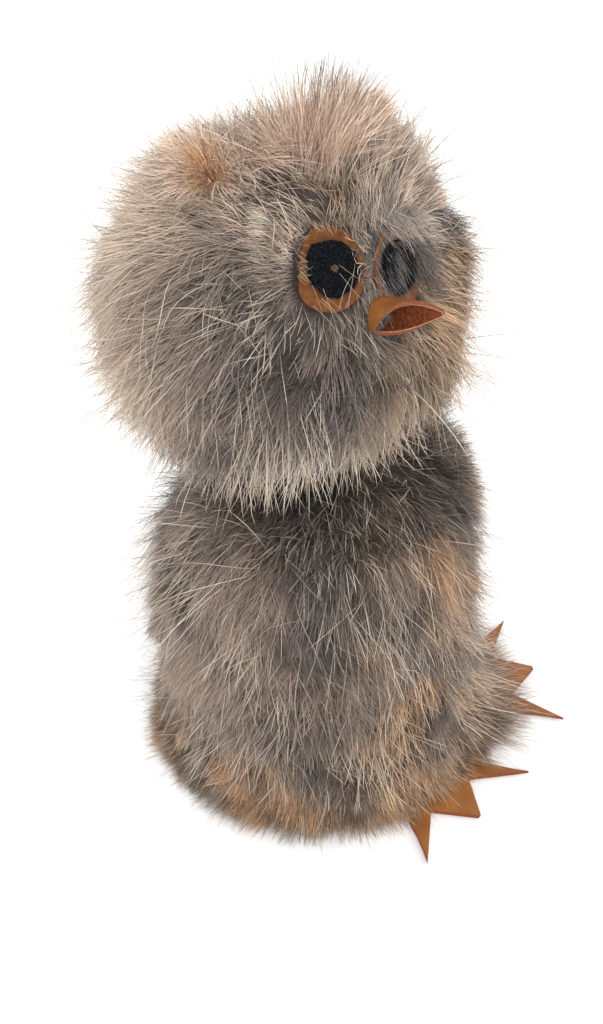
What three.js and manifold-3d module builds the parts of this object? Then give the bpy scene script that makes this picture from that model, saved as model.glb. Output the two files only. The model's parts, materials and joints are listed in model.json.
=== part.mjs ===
// Fur owl hand puppet, in millimetres. +Z is up and the puppet's chest faces -Y. The origin is on the
// floor, under the middle of the whole puppet. The dimensions below are taken from the centre of the
// round base, and the last step moves everything from there. The head is turned to the owl's own right
// and looks up a little.
//
// Three bodies: the body sleeve that the hand goes into, the neck gather that the head turns on, and
// the head, which nods on the neck gather.

import * as THREE from 'three';
import { mergeVertices } from 'three/addons/utils/BufferGeometryUtils.js';
import Module from 'manifold-3d';

const wasm = await Module();
wasm.setup();

// ---------------------------------------------------------------- driving dimensions

const GAP = 0.3;                  // clearance kept between neighbouring pieces
const ROUND = 40;                 // sides of every large round piece
const LEATHER = 1.5;              // thickness of the leather of the feet
const FACE_LEATHER = 1.3;         // thickness of the leather of the face
const FELT = 1.6;                 // thickness of the black felt

// The body sleeve, before its top is leaned back.
const HAND_R = 41.7;              // inside radius of the lining, where the hand goes
const CLOTH = 1.2;                // thickness of the lining
const PELT_IN_R = HAND_R + CLOTH + GAP;
const HEM_H = 24;                 // height of the separate band round the base
const BODY_H = 121;               // height of the pelt at the neck hole
const NECK_HOLE_R = 24.6;         // hole in the top of the body pelt
const BASE_RING_T = 3.7;          // thickness of the stiff band that the puppet stands on
const LEAN_FROM = 30;             // the body is upright below this height
const LEAN_FULL = 112;            // and fully leaned from this height up
const LEAN_SHIFT = [-2, 7];       // how far the neck sits from the middle of the base
const LEAN_TILT = Math.tan(THREE.MathUtils.degToRad(15));   // slope of the shoulders, front high
const BASE_AT = [-3.6, 11.2, 0];  // centre of the round base, from the origin

// The neck gather, on a vertical axis through the neck.
const NECK = new THREE.Vector3(LEAN_SHIFT[0], LEAN_SHIFT[1], 130);
const SLEEVE_R = NECK_HOLE_R - GAP;
const WAIST_R = 20.6;             // the gather's narrowest part, under the tie
const TIE_R = 1.2;                // radius of the tie cord
const TIE_Z = NECK.z + 1.1;       // height of the tie, in the middle of the waist
const KNOT_R = 1.7;               // radius of the tie's knot

// The head, a ball set a little further back than the neck.
const HEAD = new THREE.Vector3(NECK.x - 2, NECK.y + 5.5, 190);
const HEAD_R = 57;                // outside of the head pelt
const HEAD_IN_R = 42;             // inside of the head pelt
const HEAD_HOLE_R = 24;           // hole under the head, over the neck
const FINGER_R = 11.5;            // inside radius of the finger stall
const STALL_T = 1.5;              // thickness of the finger stall
const FILLING_R = HEAD_IN_R - 4 * GAP;
const FILLING_FLOOR = 147;        // height of the filling's flat underside
const STALL_Z = [139, 199];       // its open end and its closed end

// The face, in a frame of its own at the middle of the head: -Y forwards, +X to the owl's left.
const FACE_TURN = -33;            // degrees about +Z
const FACE_UP = 20;               // degrees that the face looks up
const FACE_ROLL = 16;             // degrees that the owl's left side of the face drops
const EYE = { x: 11.3, y: -43.5, z: 8.5, yaw: 15.5, up: 8 };
const BRIDGE_Y = -47.5;           // flat between the eyes, where the beak is sewn on

// ---------------------------------------------------------------- helpers

const rad = THREE.MathUtils.degToRad;

function material(colour, roughness) {
  return new THREE.MeshStandardMaterial({ color: colour, roughness, metalness: 0 });
}

const fur = material(0x8f7f72, 0.95);
const paleFur = material(0xb49a80, 0.95);
const darkFur = material(0x3c332d, 0.95);
const leather = material(0xa86a2e, 0.6);
const felt = material(0x15161a, 0.95);
const cloth = material(0xb8a88e, 0.9);
const stiffBand = material(0x5b4a3a, 0.8);
const thread = material(0xb08a66, 0.8);
const filling = material(0xe8e4da, 0.95);

// One indexed geometry with only positions, its shared corners merged.
function welded(geometry) {
  const bare = geometry.clone();
  bare.deleteAttribute('normal');
  bare.deleteAttribute('uv');
  return mergeVertices(bare, 1e-4);
}

function toSolid(geometry) {
  const bare = welded(geometry);
  return new wasm.Manifold(new wasm.Mesh({
    numProp: 3,
    vertProperties: new Float32Array(bare.attributes.position.array),
    triVerts: new Uint32Array(bare.index.array),
  }));
}

function fromSolid(solid) {
  const mesh = solid.getMesh();
  const geometry = new THREE.BufferGeometry();
  geometry.setAttribute('position', new THREE.BufferAttribute(new Float32Array(mesh.vertProperties), 3));
  geometry.setIndex(new THREE.BufferAttribute(new Uint32Array(mesh.triVerts), 1));
  return geometry;
}

function cut(geometry, ...cutters) {
  let solid = toSolid(geometry);
  for (const cutter of cutters) {
    solid = solid.subtract(toSolid(cutter));
  }
  return fromSolid(solid);
}

// A piece turned about +Z from its section, listed as [radius, height] round the section.
function turned(section, sides = ROUND) {
  const points = section.map(([r, z]) => new THREE.Vector2(r, z));
  const onAxis = section[0][0] === 0;
  if (!onAxis) {
    points.push(points[0].clone());
  }
  const geometry = new THREE.LatheGeometry(points, sides);
  geometry.rotateX(Math.PI / 2);
  const solid = welded(geometry);
  const corners = solid.attributes.position;
  const index = solid.index.array;
  let volume = 0;
  const [a, b, c] = [new THREE.Vector3(), new THREE.Vector3(), new THREE.Vector3()];
  for (let i = 0; i < index.length; i += 3) {
    a.fromBufferAttribute(corners, index[i]);
    b.fromBufferAttribute(corners, index[i + 1]);
    c.fromBufferAttribute(corners, index[i + 2]);
    volume += a.dot(b.cross(c));
  }
  if (volume < 0) {
    for (let i = 0; i < index.length; i += 3) {
      [index[i], index[i + 1]] = [index[i + 1], index[i]];
    }
  }
  return solid;
}

// Points of an arc in a section, from one angle to another, in degrees from the horizontal.
function arc(centreZ, radius, from, to, steps) {
  const points = [];
  for (let i = 0; i <= steps; i += 1) {
    const angle = rad(from + (to - from) * i / steps);
    const r = Math.abs(Math.cos(angle)) < 1e-9 ? 0 : radius * Math.cos(angle);
    points.push([r, centreZ + radius * Math.sin(angle)]);
  }
  return points;
}

// Leans the upper body back over the base, and raises the front of its shoulders.
function leaned(geometry) {
  const corners = geometry.attributes.position;
  for (let i = 0; i < corners.count; i += 1) {
    const share = THREE.MathUtils.clamp((corners.getZ(i) - LEAN_FROM) / (LEAN_FULL - LEAN_FROM), 0, 1);
    const y = corners.getY(i);
    corners.setX(i, corners.getX(i) + LEAN_SHIFT[0] * share);
    corners.setY(i, y + LEAN_SHIFT[1] * share);
    corners.setZ(i, corners.getZ(i) - y * LEAN_TILT * share);
  }
  return geometry;
}

// A bent sheet of even thickness. place(u, v, depth) gives the point at u and v, both from 0 to 1.
function bentSheet(place, thickness, across, along) {
  const positions = [];
  const index = [];
  const id = (side, i, j) => side * (across + 1) * (along + 1) + i * (along + 1) + j;
  for (const depth of [0, thickness]) {
    for (let i = 0; i <= across; i += 1) {
      for (let j = 0; j <= along; j += 1) {
        positions.push(...place(i / across, j / along, depth).toArray());
      }
    }
  }
  const quad = (a, b, c, d) => index.push(a, b, c, a, c, d);
  for (let i = 0; i < across; i += 1) {
    for (let j = 0; j < along; j += 1) {
      quad(id(0, i, j), id(0, i + 1, j), id(0, i + 1, j + 1), id(0, i, j + 1));
      quad(id(1, i, j), id(1, i, j + 1), id(1, i + 1, j + 1), id(1, i + 1, j));
    }
    quad(id(0, i, 0), id(1, i, 0), id(1, i + 1, 0), id(0, i + 1, 0));
    quad(id(0, i, along), id(0, i + 1, along), id(1, i + 1, along), id(1, i, along));
  }
  for (let j = 0; j < along; j += 1) {
    quad(id(0, 0, j), id(0, 0, j + 1), id(1, 0, j + 1), id(1, 0, j));
    quad(id(0, across, j), id(1, across, j), id(1, across, j + 1), id(0, across, j + 1));
  }
  const geometry = new THREE.BufferGeometry();
  geometry.setAttribute('position', new THREE.Float32BufferAttribute(positions, 3));
  geometry.setIndex(index);
  return geometry;
}

function named(name, geometry, finish) {
  const mesh = new THREE.Mesh(geometry, finish);
  mesh.name = name;
  return mesh;
}

// ---------------------------------------------------------------- body sleeve

const bodyPelt = named('body_pelt', leaned(turned([
  [PELT_IN_R, HEM_H + GAP],
  [56, HEM_H + GAP],
  [56, LEAN_FROM],
  [55.5, 50],
  [54.5, 75],
  [53, 94],
  [48, 108],
  [38, 117],
  [30, 120],
  [NECK_HOLE_R, BODY_H],
  [NECK_HOLE_R, 113.2],
  [30, 111.8],
  [38, 106],
  [PELT_IN_R, 96],
  [PELT_IN_R, 60],
  [PELT_IN_R, LEAN_FROM],
])), fur);

const bodyLining = named('body_lining', leaned(turned([
  [HAND_R, 1],
  [HAND_R + CLOTH, 1],
  [HAND_R + CLOTH, LEAN_FROM],
  [HAND_R + CLOTH, 60],
  [HAND_R + CLOTH, 95.6],
  [37.7, 105.5],
  [29.8, 111.2],
  [25.2, 112.4],
  [25.2, 111.1],
  [29.4, 109.9],
  [36.8, 104.4],
  [HAND_R, 95],
  [HAND_R, 60],
  [HAND_R, LEAN_FROM],
])), cloth);

const baseRing = named('base_ring', turned([
  [PELT_IN_R, 0],
  [PELT_IN_R + BASE_RING_T, 0],
  [PELT_IN_R + BASE_RING_T, HEM_H],
  [PELT_IN_R, HEM_H],
]), stiffBand);

const hemPelt = named('hem_pelt', turned([
  [PELT_IN_R + BASE_RING_T + GAP, LEATHER + GAP],
  [59, LEATHER + GAP],
  [60, 8],
  [58.5, 17],
  [56, HEM_H],
  [PELT_IN_R + BASE_RING_T + GAP, HEM_H],
]), fur);

// One leather piece cut into three claws, its tab under the hem and against the base ring.
const FOOT = {
  clawX: 29, clawY: 14, notchX: 10.7, heelX: 16, heelY: -14, tabX: 12, tabY: -40,
};

function footPiece(name, { x, y, splay }) {
  const outline = new THREE.Shape();
  outline.moveTo(-FOOT.tabX, FOOT.tabY);
  outline.lineTo(FOOT.tabX, FOOT.tabY);
  outline.lineTo(FOOT.heelX, FOOT.heelY);
  outline.quadraticCurveTo(20.5, 2, FOOT.clawX, FOOT.clawY);
  outline.lineTo(FOOT.notchX, 0);
  outline.lineTo(0.6, FOOT.clawY);
  outline.lineTo(-0.6, FOOT.clawY);
  outline.lineTo(-FOOT.notchX, 0);
  outline.lineTo(-FOOT.clawX, FOOT.clawY);
  outline.quadraticCurveTo(-20.5, 2, -FOOT.heelX, FOOT.heelY);
  outline.closePath();
  const blank = new THREE.ExtrudeGeometry(outline, { depth: LEATHER, bevelEnabled: false, curveSegments: 5 });
  blank.rotateZ(Math.PI + rad(splay));
  blank.translate(x, y, 0);
  const ring = new THREE.CylinderGeometry(
    PELT_IN_R + BASE_RING_T + GAP, PELT_IN_R + BASE_RING_T + GAP, 40, ROUND,
  );
  ring.rotateX(Math.PI / 2);
  return named(name, cut(blank, ring), leather);
}

// x and y place the notches' line; splay turns the toes out, in degrees about +Z.
const rightFoot = footPiece('right_foot', { x: -29, y: -61, splay: -24 });
const leftFoot = footPiece('left_foot', { x: 37, y: -63, splay: 38 });

// ---------------------------------------------------------------- neck gather

const neckSleeve = named('neck_sleeve', turned([
  [21.5, 104],
  [SLEEVE_R, 104],
  [SLEEVE_R, 125],
  [23, 127.8],
  [WAIST_R, 129.4],
  [WAIST_R, 132.8],
  [21, 134.6],
  [20, 137],
  [17.8, 137],
  [18.4, 131],
  [21, 124],
]).translate(NECK.x, NECK.y, 0), darkFur);

// The tie cord round the gather, with its knot at the back.
function tiePiece() {
  const radius = WAIST_R + TIE_R + GAP;
  const ring = new THREE.TorusGeometry(radius, TIE_R, 8, ROUND);
  const knot = new THREE.SphereGeometry(KNOT_R, 12, 8);
  knot.translate(0, radius + TIE_R, 0);
  const joined = fromSolid(toSolid(ring).add(toSolid(knot)));
  return joined.translate(NECK.x, NECK.y, TIE_Z);
}

const neckTie = named('neck_tie', tiePiece(), thread);

// ---------------------------------------------------------------- head

// A closed ball.
function ball(radius, rings) {
  return turned(arc(0, radius, 90, -90, rings));
}

// A standing cylinder on the axis of the neck, from one height to another.
function neckPlug(radius, from, to, sides = ROUND) {
  const plug = new THREE.CylinderGeometry(radius, radius, to - from, sides);
  plug.rotateX(Math.PI / 2);
  return plug.translate(NECK.x, NECK.y, (from + to) / 2);
}

const face = new THREE.Group();
face.position.copy(HEAD);
face.rotation.set(-rad(FACE_UP), rad(FACE_ROLL), rad(FACE_TURN), 'ZXY');
face.updateMatrix();
const faceTurn = new THREE.Matrix4().makeRotationFromEuler(face.rotation);

// The frame of one eye: +Z outwards from the face, +Y up. side is -1 for the owl's right eye.
function eyeFrame(side) {
  const frame = new THREE.Matrix4().makeTranslation(side * EYE.x, EYE.y, EYE.z);
  frame.multiply(new THREE.Matrix4().makeRotationZ(rad(side * EYE.yaw)));
  frame.multiply(new THREE.Matrix4().makeRotationX(rad(90 - EYE.up)));
  return frame;
}

// Trimming blocks: a flat for each eye patch, and the flat of the bridge.
function trimmers() {
  const blocks = [-1, 1].map((side) => {
    const block = new THREE.BoxGeometry(70, 70, 30);
    block.translate(0, 0, 15);
    return block.applyMatrix4(eyeFrame(side));
  });
  const bridge = new THREE.BoxGeometry(40, 30, 50);
  bridge.translate(0, BRIDGE_Y - 15, 0);
  blocks.push(bridge);
  return blocks.map((block) => block.applyMatrix4(faceTurn));
}

// The small holes that the eye tacks go through.
const TACK_R = 0.5;
const TACK_HOLE_R = 0.85;

function tackHole(side, length) {
  const hole = new THREE.CylinderGeometry(TACK_HOLE_R, TACK_HOLE_R, length, 10);
  hole.rotateX(Math.PI / 2);
  return side === null ? hole : hole.applyMatrix4(eyeFrame(side));
}

const headPelt = named('head_pelt', cut(
  ball(HEAD_R, 20).translate(HEAD.x, HEAD.y, HEAD.z),
  ball(HEAD_IN_R, 14).translate(HEAD.x, HEAD.y, HEAD.z),
  neckPlug(HEAD_HOLE_R, 120, 170),
  ...[...trimmers(), tackHole(-1, 6).applyMatrix4(faceTurn), tackHole(1, 6).applyMatrix4(faceTurn)]
    .map((cutter) => cutter.translate(HEAD.x, HEAD.y, HEAD.z)),
), fur);

const floorBlock = new THREE.BoxGeometry(200, 200, 60);
floorBlock.translate(0, 0, FILLING_FLOOR - 30);
const headStuffing = named('head_stuffing', cut(
  ball(FILLING_R, 14).translate(HEAD.x, HEAD.y, HEAD.z),
  neckPlug(FINGER_R + STALL_T + GAP, 120, STALL_Z[1] + GAP, 32),
  floorBlock,
), filling);

const fingerStall = named('finger_stall', turned([
  [0, STALL_Z[1]],
  [FINGER_R, STALL_Z[1]],
  [FINGER_R + STALL_T, STALL_Z[1] - STALL_T],
  [FINGER_R + STALL_T, STALL_Z[0]],
  [FINGER_R, STALL_Z[0]],
  [FINGER_R, STALL_Z[1] - STALL_T],
  [0, STALL_Z[1] - STALL_T],
], 32).translate(NECK.x, NECK.y, 0), cloth);

// ---------------------------------------------------------------- tufts

// A flattened tapering tuft, standing on +Z at its root.
function tuft({ length, width, thick, curl }) {
  const geometry = turned([
    [0, 0], [1, 0], [1.08, length * 0.3], [0.8, length * 0.65], [0.35, length * 0.92], [0, length],
  ], 20);
  const corners = geometry.attributes.position;
  for (let i = 0; i < corners.count; i += 1) {
    const share = Math.max(0, corners.getZ(i) / length);
    corners.setX(i, corners.getX(i) * width / 2);
    corners.setY(i, corners.getY(i) * thick / 2 + curl * share * share);
  }
  return geometry;
}

// Stands a tuft on the head ball. bearing is in degrees from -Y towards +X, rise in degrees.
function tuftPiece(name, { bearing, rise, twist, ...shape }, finish) {
  const out = new THREE.Vector3(
    Math.cos(rad(rise)) * Math.sin(rad(bearing)),
    -Math.cos(rad(rise)) * Math.cos(rad(bearing)),
    Math.sin(rad(rise)),
  );
  const mesh = named(name, tuft(shape), finish);
  mesh.quaternion.setFromUnitVectors(new THREE.Vector3(0, 0, 1), out);
  mesh.rotateZ(rad(twist));
  mesh.position.copy(HEAD).addScaledVector(out, HEAD_R + GAP);
  return mesh;
}

const crest = tuftPiece('crest_tuft', {
  bearing: 327, rise: 76, twist: -32, length: 16, width: 34, thick: 14, curl: 3,
}, paleFur);
const rightEar = tuftPiece('right_ear_tuft', {
  bearing: 235, rise: 56, twist: 10, length: 19, width: 20, thick: 12, curl: 6,
}, paleFur);
const leftEar = tuftPiece('left_ear_tuft', {
  bearing: 70, rise: 48, twist: -20, length: 17, width: 20, thick: 12, curl: 5,
}, paleFur);

// ---------------------------------------------------------------- eyes

// Outline of the eye patch of the owl's right eye, by hand, in its own plane. The left eye mirrors it.
const PATCH_OUTLINE = [
  [-1.9, 12.7], [3.9, 11.2], [7.9, 7.3], [10, 1.3], [10.3, -4.1], [7.7, -9.1], [1.5, -12.6], [-5.8, -11.7],
  [-10, -7.6], [-10, -0.9], [-9.1, 5.8], [-6.2, 11.2],
];
const PUPIL_OUTLINE = [
  [-0.9, 8.2], [2.6, 7.7], [6.6, 5], [8.4, -0.7], [6.3, -5.7], [1.6, -8.6], [-2.5, -8.1], [-7.3, -3.8],
  [-8.1, 3], [-6.3, 7],
];

function mirrored(outline, side) {
  return outline.map(([x, y]) => new THREE.Vector2(-side * x, y));
}

function plate(points, thickness, from) {
  const geometry = new THREE.ExtrudeGeometry(new THREE.Shape(points), {
    depth: thickness, bevelEnabled: false,
  });
  return geometry.translate(0, 0, from);
}

function eyePieces(word, side) {
  const frame = eyeFrame(side);
  const loop = new THREE.CatmullRomCurve3(
    mirrored(PATCH_OUTLINE, side).map((p) => new THREE.Vector3(p.x, p.y, 0)), true,
  );
  const smooth = loop.getPoints(44).slice(0, -1).map((p) => new THREE.Vector2(p.x, p.y));
  const patch = cut(plate(smooth, FACE_LEATHER, GAP), tackHole(null, 20));
  const pupilFrom = GAP + FACE_LEATHER + GAP;
  const pupil = cut(plate(mirrored(PUPIL_OUTLINE, side), FELT, pupilFrom), tackHole(null, 20));
  const knotFrom = pupilFrom + FELT + GAP;
  const tack = turned([
    [0, knotFrom + 0.8], [0.8, knotFrom + 0.6], [1.25, knotFrom + 0.2], [1.2, knotFrom],
    [TACK_R, knotFrom], [TACK_R, -2.4], [0, -2.4],
  ], 12);
  return [
    named(`${word}_eye_patch`, patch.applyMatrix4(frame), leather),
    named(`${word}_pupil`, pupil.applyMatrix4(frame), felt),
    named(`${word}_eye_tack`, tack.applyMatrix4(frame), thread),
  ];
}

// ---------------------------------------------------------------- beak

// A leather triangle rolled round its length, its point swung to the owl's left by the twist of the
// roll. Angles are round the roll from its top, in degrees, positive on the owl's right.
const BEAK = {
  root: new THREE.Vector3(2.6, -49.6, -4.9), length: 19.8, roll: 6, swing: 16, drop: 3,
  right: [160, -45], left: [-186, -62], belly: -28,
};

function beakPiece() {
  const out = new THREE.Vector3(
    Math.sin(rad(BEAK.swing)) * Math.cos(rad(BEAK.drop)),
    -Math.cos(rad(BEAK.swing)) * Math.cos(rad(BEAK.drop)),
    -Math.sin(rad(BEAK.drop)),
  );
  const toRight = new THREE.Vector3(0, 0, 1).cross(out).normalize().negate();
  const up = new THREE.Vector3().crossVectors(toRight, out).normalize();
  if (up.z < 0) {
    up.negate();
  }
  const place = (u, v, depth) => {
    const rightEdge = THREE.MathUtils.lerp(...BEAK.right, v) + BEAK.belly * Math.sin(Math.PI * v);
    const leftEdge = THREE.MathUtils.lerp(...BEAK.left, v);
    const angle = rad(THREE.MathUtils.lerp(leftEdge, rightEdge, u));
    const radius = BEAK.roll - depth;
    return BEAK.root.clone()
      .addScaledVector(out, BEAK.length * v)
      .addScaledVector(toRight, radius * Math.sin(angle))
      .addScaledVector(up, radius * Math.cos(angle));
  };
  return named('beak', bentSheet(place, FACE_LEATHER, 14, 10), leather);
}

// ---------------------------------------------------------------- assembly

face.add(...eyePieces('right', -1), ...eyePieces('left', 1), beakPiece());

const group = new THREE.Group();
group.add(bodyPelt, bodyLining, baseRing, hemPelt, rightFoot, leftFoot);
group.add(neckSleeve, neckTie);
group.add(headPelt, headStuffing, fingerStall, crest, rightEar, leftEar, face);
group.position.set(...BASE_AT);

export default group;
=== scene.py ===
"""A fur owl hand puppet: long rabbit fur, leather eyes, beak and claws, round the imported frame.

Everything is in metres in the frame's own axes: +Z up, the chest towards -Y. Bearings are in degrees
from -Y towards +X, seen from above, and rises are in degrees above the level.
"""

import json
import math

import bmesh
import bpy
import numpy as np
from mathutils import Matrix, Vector
from mathutils.kdtree import KDTree


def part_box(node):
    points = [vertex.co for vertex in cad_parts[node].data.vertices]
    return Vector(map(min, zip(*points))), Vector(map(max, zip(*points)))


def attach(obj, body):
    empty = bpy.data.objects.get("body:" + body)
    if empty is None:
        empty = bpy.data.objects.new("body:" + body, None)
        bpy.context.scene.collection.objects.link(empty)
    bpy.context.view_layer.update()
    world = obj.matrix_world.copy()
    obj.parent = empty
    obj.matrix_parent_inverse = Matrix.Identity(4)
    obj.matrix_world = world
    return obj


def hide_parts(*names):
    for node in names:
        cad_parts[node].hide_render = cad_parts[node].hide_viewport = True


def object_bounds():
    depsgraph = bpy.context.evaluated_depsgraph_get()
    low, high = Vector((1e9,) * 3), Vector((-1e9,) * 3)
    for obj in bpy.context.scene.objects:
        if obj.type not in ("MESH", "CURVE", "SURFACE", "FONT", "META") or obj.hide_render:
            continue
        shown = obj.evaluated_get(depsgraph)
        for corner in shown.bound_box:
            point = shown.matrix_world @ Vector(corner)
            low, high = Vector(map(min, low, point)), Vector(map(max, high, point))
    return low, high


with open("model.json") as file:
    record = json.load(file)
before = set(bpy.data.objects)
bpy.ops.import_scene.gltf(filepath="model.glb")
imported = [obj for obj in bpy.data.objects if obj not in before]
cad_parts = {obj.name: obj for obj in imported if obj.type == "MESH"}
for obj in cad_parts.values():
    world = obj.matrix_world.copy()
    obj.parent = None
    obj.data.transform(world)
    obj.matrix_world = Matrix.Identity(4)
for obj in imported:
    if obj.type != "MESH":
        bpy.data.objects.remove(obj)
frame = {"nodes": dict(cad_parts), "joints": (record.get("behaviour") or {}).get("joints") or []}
cad_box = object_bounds()
NODES = frame["nodes"]

SEED = 20260
STRANDS_PER_PIECE = 21000       # keeps each piece's mesh under 200,000 faces
rng = np.random.default_rng(SEED)

# ---------------------------------------------------------------- small helpers


def unit(v):
    return v / np.maximum(np.linalg.norm(v, axis=-1, keepdims=True), 1e-9)


def dot(a, b):
    return (a * b).sum(-1, keepdims=True)


def toward(bearing, rise):
    b, r = math.radians(bearing), math.radians(rise)
    return np.array([math.cos(r) * math.sin(b), -math.cos(r) * math.cos(b), math.sin(r)])


def amount(full):
    return int(full * (1.0))


def repeat(vector, count):
    return np.tile(np.asarray(vector, float), (count, 1))


def step(x, low, high):
    """0 below low, 1 above high, and smooth between."""
    t = np.clip((x - low) / (high - low), 0, 1)
    return t * t * (3 - 2 * t)


# ---------------------------------------------------------------- places taken from the frame


def middle(node):
    low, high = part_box(node)
    return np.array((low + high) / 2)


def joint(name):
    return next(j for j in frame["joints"] if j["name"] == name)


HEAD_LOW, HEAD_HIGH = (np.array(corner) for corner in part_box("head_pelt"))
BALL_R = (HEAD_HIGH[0] - HEAD_LOW[0]) / 2
HEAD = np.array([(HEAD_LOW[0] + HEAD_HIGH[0]) / 2, HEAD_HIGH[1] - BALL_R, HEAD_HIGH[2] - BALL_R])
NECK = np.array(joint("head_turn")["pos_m"])
BASE = middle("base_ring") * [1, 1, 0]
RIGHT_EYE = middle("right_pupil")
LEFT_EYE = middle("left_pupil")
LATERAL = unit(LEFT_EYE - RIGHT_EYE)                    # towards the owl's left
BRIDGE = (RIGHT_EYE + LEFT_EYE) / 2
FORWARD = unit(BRIDGE - HEAD)
FORWARD = unit(FORWARD - FORWARD.dot(LATERAL) * LATERAL)
BROW = unit(np.cross(LATERAL, FORWARD))                 # up the face
BROW = BROW * (1 if BROW[2] > 0 else -1)

# ---------------------------------------------------------------- camera, light and floor

CAMERA_AT = Vector((-0.3938, -0.1308, 0.4349))
CAMERA_AIM = Vector((-0.0036, 0.0112, 0.1220))
FOCAL = 1500 / 1024             # focal length over the picture's height
FRAMING = (-0.0200, -0.0557)    # lens shift that sets the owl right of and above the middle


def add_camera():
    data = bpy.data.cameras.new("camera")
    data.sensor_fit = "VERTICAL"
    data.sensor_height = 36.0
    data.lens = data.sensor_height * FOCAL
    data.shift_x, data.shift_y = FRAMING
    data.clip_start = 0.01
    camera = bpy.data.objects.new("camera", data)
    camera.location = CAMERA_AT
    camera.rotation_euler = (CAMERA_AIM - CAMERA_AT).to_track_quat("-Z", "Y").to_euler()
    bpy.context.scene.collection.objects.link(camera)
    bpy.context.scene.camera = camera


def add_light(name, place, power, size):
    data = bpy.data.lights.new(name, "AREA")
    data.energy = power
    data.size = size
    light = bpy.data.objects.new(name, data)
    light.location = place
    light.rotation_euler = (Vector((0, 0, 0.12)) - Vector(place)).to_track_quat("-Z", "Y").to_euler()
    bpy.context.scene.collection.objects.link(light)


def add_world(strength):
    world = bpy.data.worlds.new("studio")
    world.use_nodes = True
    background = world.node_tree.nodes["Background"]
    background.inputs["Color"].default_value = (1, 1, 1, 1)
    background.inputs["Strength"].default_value = strength
    bpy.context.scene.world = world


def add_floor():
    size, z = 3.0, -0.0005
    mesh = bpy.data.meshes.new("floor")
    corners = [(-size, -size, z), (size, -size, z), (size, size, z), (-size, size, z)]
    mesh.from_pydata(corners, [], [(0, 1, 2, 3)])
    floor = bpy.data.objects.new("floor", mesh)
    bpy.context.scene.collection.objects.link(floor)
    mesh.materials.append(surface("floor_paper", (0.97, 0.97, 0.97), (1, 1, 1), 30, roughness=0.9))


# ---------------------------------------------------------------- materials


def new_material(name):
    material = bpy.data.materials.new(name)
    material.use_nodes = True
    return material, material.node_tree, material.node_tree.nodes["Principled BSDF"]


def noise_ramp(tree, place, scale, low, high):
    noise = tree.nodes.new("ShaderNodeTexNoise")
    noise.inputs["Scale"].default_value = scale
    noise.inputs["Detail"].default_value = 6
    ramp = tree.nodes.new("ShaderNodeValToRGB")
    ramp.color_ramp.elements[0].position = 0.35
    ramp.color_ramp.elements[1].position = 0.7
    ramp.color_ramp.elements[0].color = (*low, 1)
    ramp.color_ramp.elements[1].color = (*high, 1)
    tree.links.new(place, noise.inputs["Vector"])
    tree.links.new(noise.outputs["Fac"], ramp.inputs["Fac"])
    return ramp.outputs["Color"]


def raise_by(tree, shader, height, strength, distance):
    """Adds a bump by this height on top of those that the shader already has."""
    bump = tree.nodes.new("ShaderNodeBump")
    bump.inputs["Strength"].default_value = strength
    bump.inputs["Distance"].default_value = distance
    tree.links.new(height, bump.inputs["Height"])
    previous = shader.inputs["Normal"].links
    if previous:
        tree.links.new(previous[0].from_socket, bump.inputs["Normal"])
    tree.links.new(bump.outputs["Normal"], shader.inputs["Normal"])


def add_bump(tree, shader, place, scale, strength, distance=0.0003):
    noise = tree.nodes.new("ShaderNodeTexNoise")
    noise.inputs["Scale"].default_value = scale
    noise.inputs["Detail"].default_value = 6
    tree.links.new(place, noise.inputs["Vector"])
    raise_by(tree, shader, noise.outputs["Fac"], strength, distance)


def surface(name, low, high, scale, roughness=0.9, bumps=(), sheen=0.0, specular=0.4):
    """Two colours mixed by noise, with as many layers of bump as are listed."""
    material, tree, shader = new_material(name)
    shader.inputs["Roughness"].default_value = roughness
    shader.inputs["Specular IOR Level"].default_value = specular
    shader.inputs["Sheen Weight"].default_value = sheen
    place = tree.nodes.new("ShaderNodeTexCoord").outputs["Object"]
    tree.links.new(noise_ramp(tree, place, scale, low, high), shader.inputs["Base Color"])
    for bump in bumps:
        add_bump(tree, shader, place, *bump)
    return material


def woven(name, low, high, thread):
    """Plain weave: two crossing sets of ridges, thread metres apart."""
    material, tree, shader = new_material(name)
    shader.inputs["Roughness"].default_value = 0.92
    shader.inputs["Sheen Weight"].default_value = 0.2
    place = tree.nodes.new("ShaderNodeTexCoord").outputs["Object"]
    tree.links.new(noise_ramp(tree, place, 260, low, high), shader.inputs["Base Color"])
    for direction in ("X", "Z"):
        wave = tree.nodes.new("ShaderNodeTexWave")
        wave.bands_direction = direction
        wave.inputs["Scale"].default_value = 1 / (thread * 20 / math.pi * 2)
        wave.inputs["Distortion"].default_value = 0.6
        tree.links.new(place, wave.inputs["Vector"])
        raise_by(tree, shader, wave.outputs["Fac"], 0.5, 0.0003)
    return material


def hair_material():
    """Colour painted root to tip on each strand, with a fine mottle over it."""
    material, tree, shader = new_material("fur_strands")
    shader.inputs["Roughness"].default_value = 0.55
    shader.inputs["Specular IOR Level"].default_value = 0.3
    shader.inputs["Sheen Weight"].default_value = 0.15
    colour = tree.nodes.new("ShaderNodeVertexColor")
    colour.layer_name = "hair_colour"
    place = tree.nodes.new("ShaderNodeTexCoord").outputs["Object"]
    mottle = noise_ramp(tree, place, 700, (0.82, 0.82, 0.82), (1, 1, 1))
    mix = tree.nodes.new("ShaderNodeMix")
    mix.data_type = "RGBA"
    mix.blend_type = "MULTIPLY"
    mix.inputs["Factor"].default_value = 1.0
    tree.links.new(colour.outputs["Color"], mix.inputs["A"])
    tree.links.new(mottle, mix.inputs["B"])
    tree.links.new(mix.outputs["Result"], shader.inputs["Base Color"])
    return material


def give(node, *materials):
    mesh = NODES[node].data
    mesh.materials.clear()
    for material in materials:
        mesh.materials.append(material)


# ---------------------------------------------------------------- hair made into ribbons


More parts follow.
